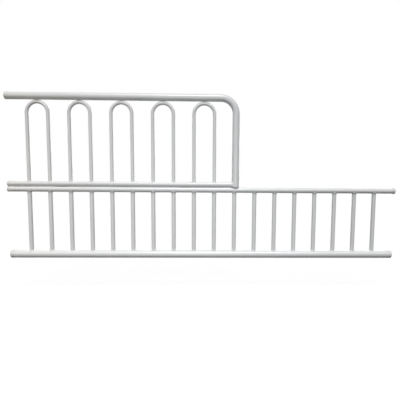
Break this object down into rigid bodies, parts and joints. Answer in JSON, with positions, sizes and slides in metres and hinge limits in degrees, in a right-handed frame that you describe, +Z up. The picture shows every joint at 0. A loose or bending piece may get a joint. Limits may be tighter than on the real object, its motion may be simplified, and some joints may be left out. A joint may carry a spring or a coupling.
{
  "type": "folding bed guard rail",
  "caption": "White tubular steel bed guard: a long barred lower panel with a shorter hairpin-loop upper panel that folds back and down behind it.",
  "frame": {"origin": "bottom centre of the bounding box, under the middle of the bottom bar's length", "axes": "+X along the bed to the post-free end, +Y from the smooth front to the hinge side, +Z up"},
  "size_m": [1.4, 0.0368, 0.5907],
  "materials": {
    "white_paint": "satin white powder coat",
    "white_plastic": "moulded, satin",
    "plated_steel": "zinc plated"
  },
  "bodies": {
    "lower_panel": {"lower_top_bar": "white_paint", "bottom_bar": "white_paint", "spindle_01": "white_paint", "spindle_02": "white_paint", "spindle_03": "white_paint", "spindle_04": "white_paint", "spindle_05": "white_paint", "spindle_06": "white_paint", "spindle_07": "white_paint", "spindle_08": "white_paint", "spindle_09": "white_paint", "spindle_10": "white_paint", "spindle_11": "white_paint", "spindle_12": "white_paint", "spindle_13": "white_paint", "spindle_14": "white_paint", "spindle_15": "white_paint", "spindle_16": "white_paint", "spindle_17": "white_paint", "spindle_18": "white_paint", "lower_bar_cap_left": "white_plastic", "lower_bar_cap_right": "white_plastic", "bottom_bar_cap_left": "white_plastic", "bottom_bar_cap_right": "white_plastic", "hinge_1_lower_leaf": "white_paint", "hinge_2_lower_leaf": "white_paint", "hinge_3_lower_leaf": "white_paint", "hinge_1_pin": "plated_steel", "hinge_2_pin": "plated_steel", "hinge_3_pin": "plated_steel"},
    "upper_panel": {"top_rail": "white_paint", "upper_bar": "white_paint", "loop_1": "white_paint", "loop_2": "white_paint", "loop_3": "white_paint", "loop_4": "white_paint", "loop_5": "white_paint", "upper_bar_cap": "white_plastic", "post_foot_pad": "white_plastic", "rail_end_bush": "white_plastic", "hinge_1_upper_leaf": "white_paint", "hinge_2_upper_leaf": "white_paint", "hinge_3_upper_leaf": "white_paint"},
    "lock_slide": {"lock_bolt": "plated_steel", "bolt_knob": "white_plastic"}
  },
  "joints": [
    {"name": "panel_fold", "type": "hinge", "parent": "lower_panel", "child": "upper_panel", "pos_m": [0, 0.01015, 0.2599], "axis": [-1, 0, 0], "range_deg": [0, 180]},
    {"name": "bolt_slide", "type": "slide", "parent": "upper_panel", "child": "lock_slide", "axis": [-1, 0, 0], "range_m": [0, 0.018]}
  ]
}
